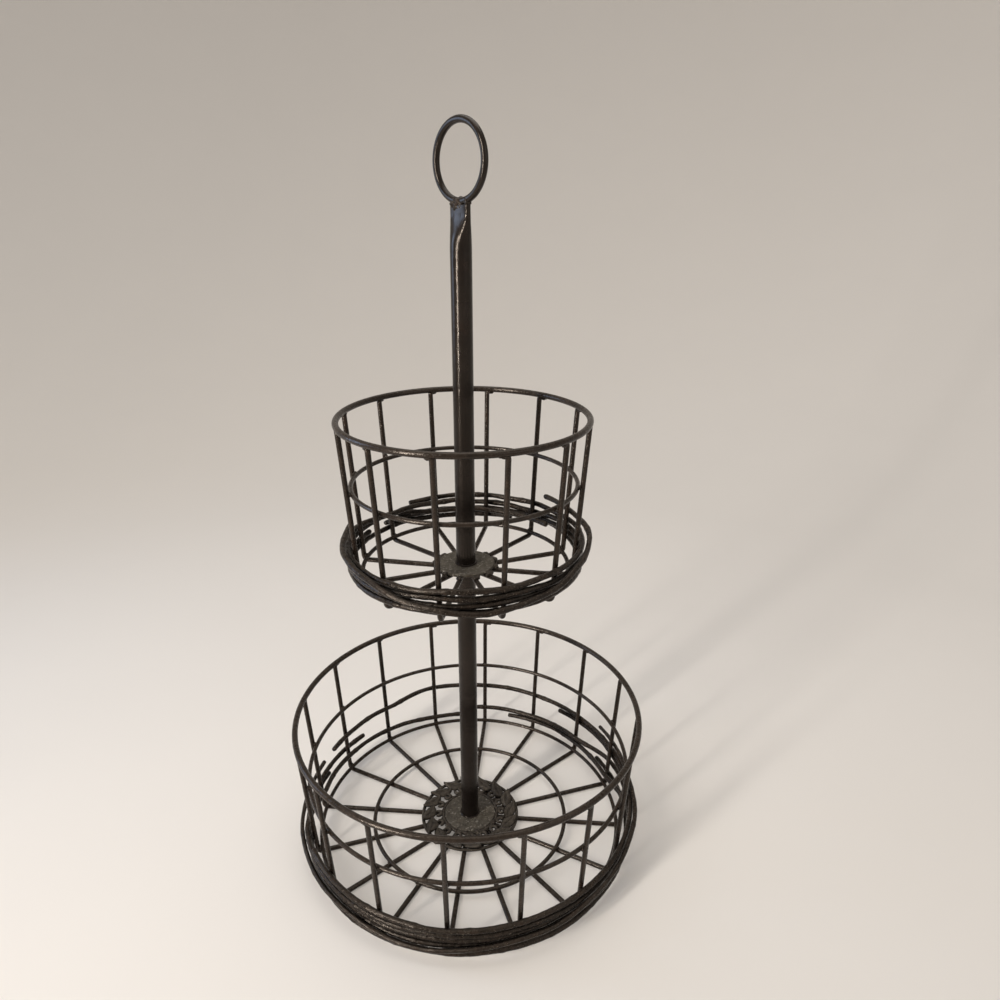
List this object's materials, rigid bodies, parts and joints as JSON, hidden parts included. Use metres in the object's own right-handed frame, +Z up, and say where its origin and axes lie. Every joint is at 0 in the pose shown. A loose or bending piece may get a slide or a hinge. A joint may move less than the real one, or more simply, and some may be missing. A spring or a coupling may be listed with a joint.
{
  "type": "tiered wire basket stand",
  "caption": "Free-standing wire stand: a small round basket above a large one on a screwed tube pole, strands wound round their feet, ring on top.",
  "frame": {"origin": "on the pole's axis, on the table under the large basket", "axes": "+Z up along the pole; the side facing the picture's camera is -Y"},
  "size_m": [0.3101, 0.3109, 0.6078],
  "materials": {
    "rib_paint": "dark bronze-brown baked paint, fine orange-peel, satin, rubbed lighter on top",
    "vine_paint": "dark bronze-brown paint over rough, pitted strand wire",
    "hub_paint": "grey-brown paint with a fine sandy grain",
    "pole_paint": "dark bronze-brown satin paint on smooth tube",
    "plated_steel": "plain zinc-plated steel, inside the tubes"
  },
  "bodies": {
    "large_basket": {"large_rib_01": "rib_paint", "large_rib_02": "rib_paint", "large_rib_03": "rib_paint", "large_rib_04": "rib_paint", "large_rib_05": "rib_paint", "large_rib_06": "rib_paint", "large_rib_07": "rib_paint", "large_rib_08": "rib_paint", "large_rib_09": "rib_paint", "large_rib_10": "rib_paint", "large_rib_11": "rib_paint", "large_rib_12": "rib_paint", "large_rib_13": "rib_paint", "large_rib_14": "rib_paint", "large_rib_15": "rib_paint", "large_rib_16": "rib_paint", "large_rim": "rib_paint", "large_mid_ring": "rib_paint", "large_base_ring": "rib_paint", "large_floor_ring": "rib_paint", "large_vine_rising": "vine_paint", "large_vine_left": "vine_paint", "large_vine_back": "vine_paint", "large_vine_right": "vine_paint", "large_vine_low": "vine_paint", "large_vine_outer": "vine_paint", "large_hub_disc": "hub_paint", "leaf_rosette": "hub_paint", "lower_stud": "plated_steel"},
    "lower_washer": {"lower_foot_washer": "pole_paint"},
    "lower_pole": {"lower_pole": "pole_paint", "lower_pole_foot_insert": "plated_steel", "lower_pole_top_insert": "plated_steel", "upper_stud": "plated_steel"},
    "small_basket": {"small_rib_01": "rib_paint", "small_rib_02": "rib_paint", "small_rib_03": "rib_paint", "small_rib_04": "rib_paint", "small_rib_05": "rib_paint", "small_rib_06": "rib_paint", "small_rib_07": "rib_paint", "small_rib_08": "rib_paint", "small_rib_09": "rib_paint", "small_rib_10": "rib_paint", "small_rib_11": "rib_paint", "small_rib_12": "rib_paint", "small_rim": "rib_paint", "small_mid_ring": "rib_paint", "small_base_ring": "rib_paint", "small_vine_low": "vine_paint", "small_vine_front": "vine_paint", "small_vine_middle": "vine_paint", "small_vine_high": "vine_paint", "small_vine_outer": "vine_paint", "small_hub_disc": "hub_paint"},
    "upper_washer": {"upper_foot_washer": "pole_paint"},
    "upper_pole": {"upper_pole": "pole_paint", "upper_pole_foot_insert": "plated_steel", "hanging_ring": "pole_paint"}
  },
  "joints": [
    {"name": "lower_pole_rise", "type": "slide", "parent": "large_basket", "child": "lower_washer", "axis": [0, 0, 1], "range_m": [0, 0.01]},
    {"name": "lower_pole_unscrew", "type": "hinge", "parent": "lower_washer", "child": "lower_pole", "pos_m": [0, 0, 0.0069], "axis": [0, 0, 1], "range_deg": [0, 2880]},
    {"name": "small_basket_turn", "type": "hinge", "parent": "lower_washer", "child": "small_basket", "pos_m": [0, 0, 0.271], "axis": [0, 0, 1], "continuous": true},
    {"name": "upper_pole_rise", "type": "slide", "parent": "lower_pole", "child": "upper_washer", "axis": [0, 0, 1], "range_m": [0, 0.01]},
    {"name": "upper_pole_unscrew", "type": "hinge", "parent": "upper_washer", "child": "upper_pole", "pos_m": [0, 0, 0.2735], "axis": [0, 0, 1], "range_deg": [0, 2880]}
  ],
  "couplings": [
    {"joint": "lower_pole_unscrew", "follows": "lower_pole_rise", "rad_per_m": 5026.5},
    {"joint": "upper_pole_unscrew", "follows": "upper_pole_rise", "rad_per_m": 5026.5}
  ]
}
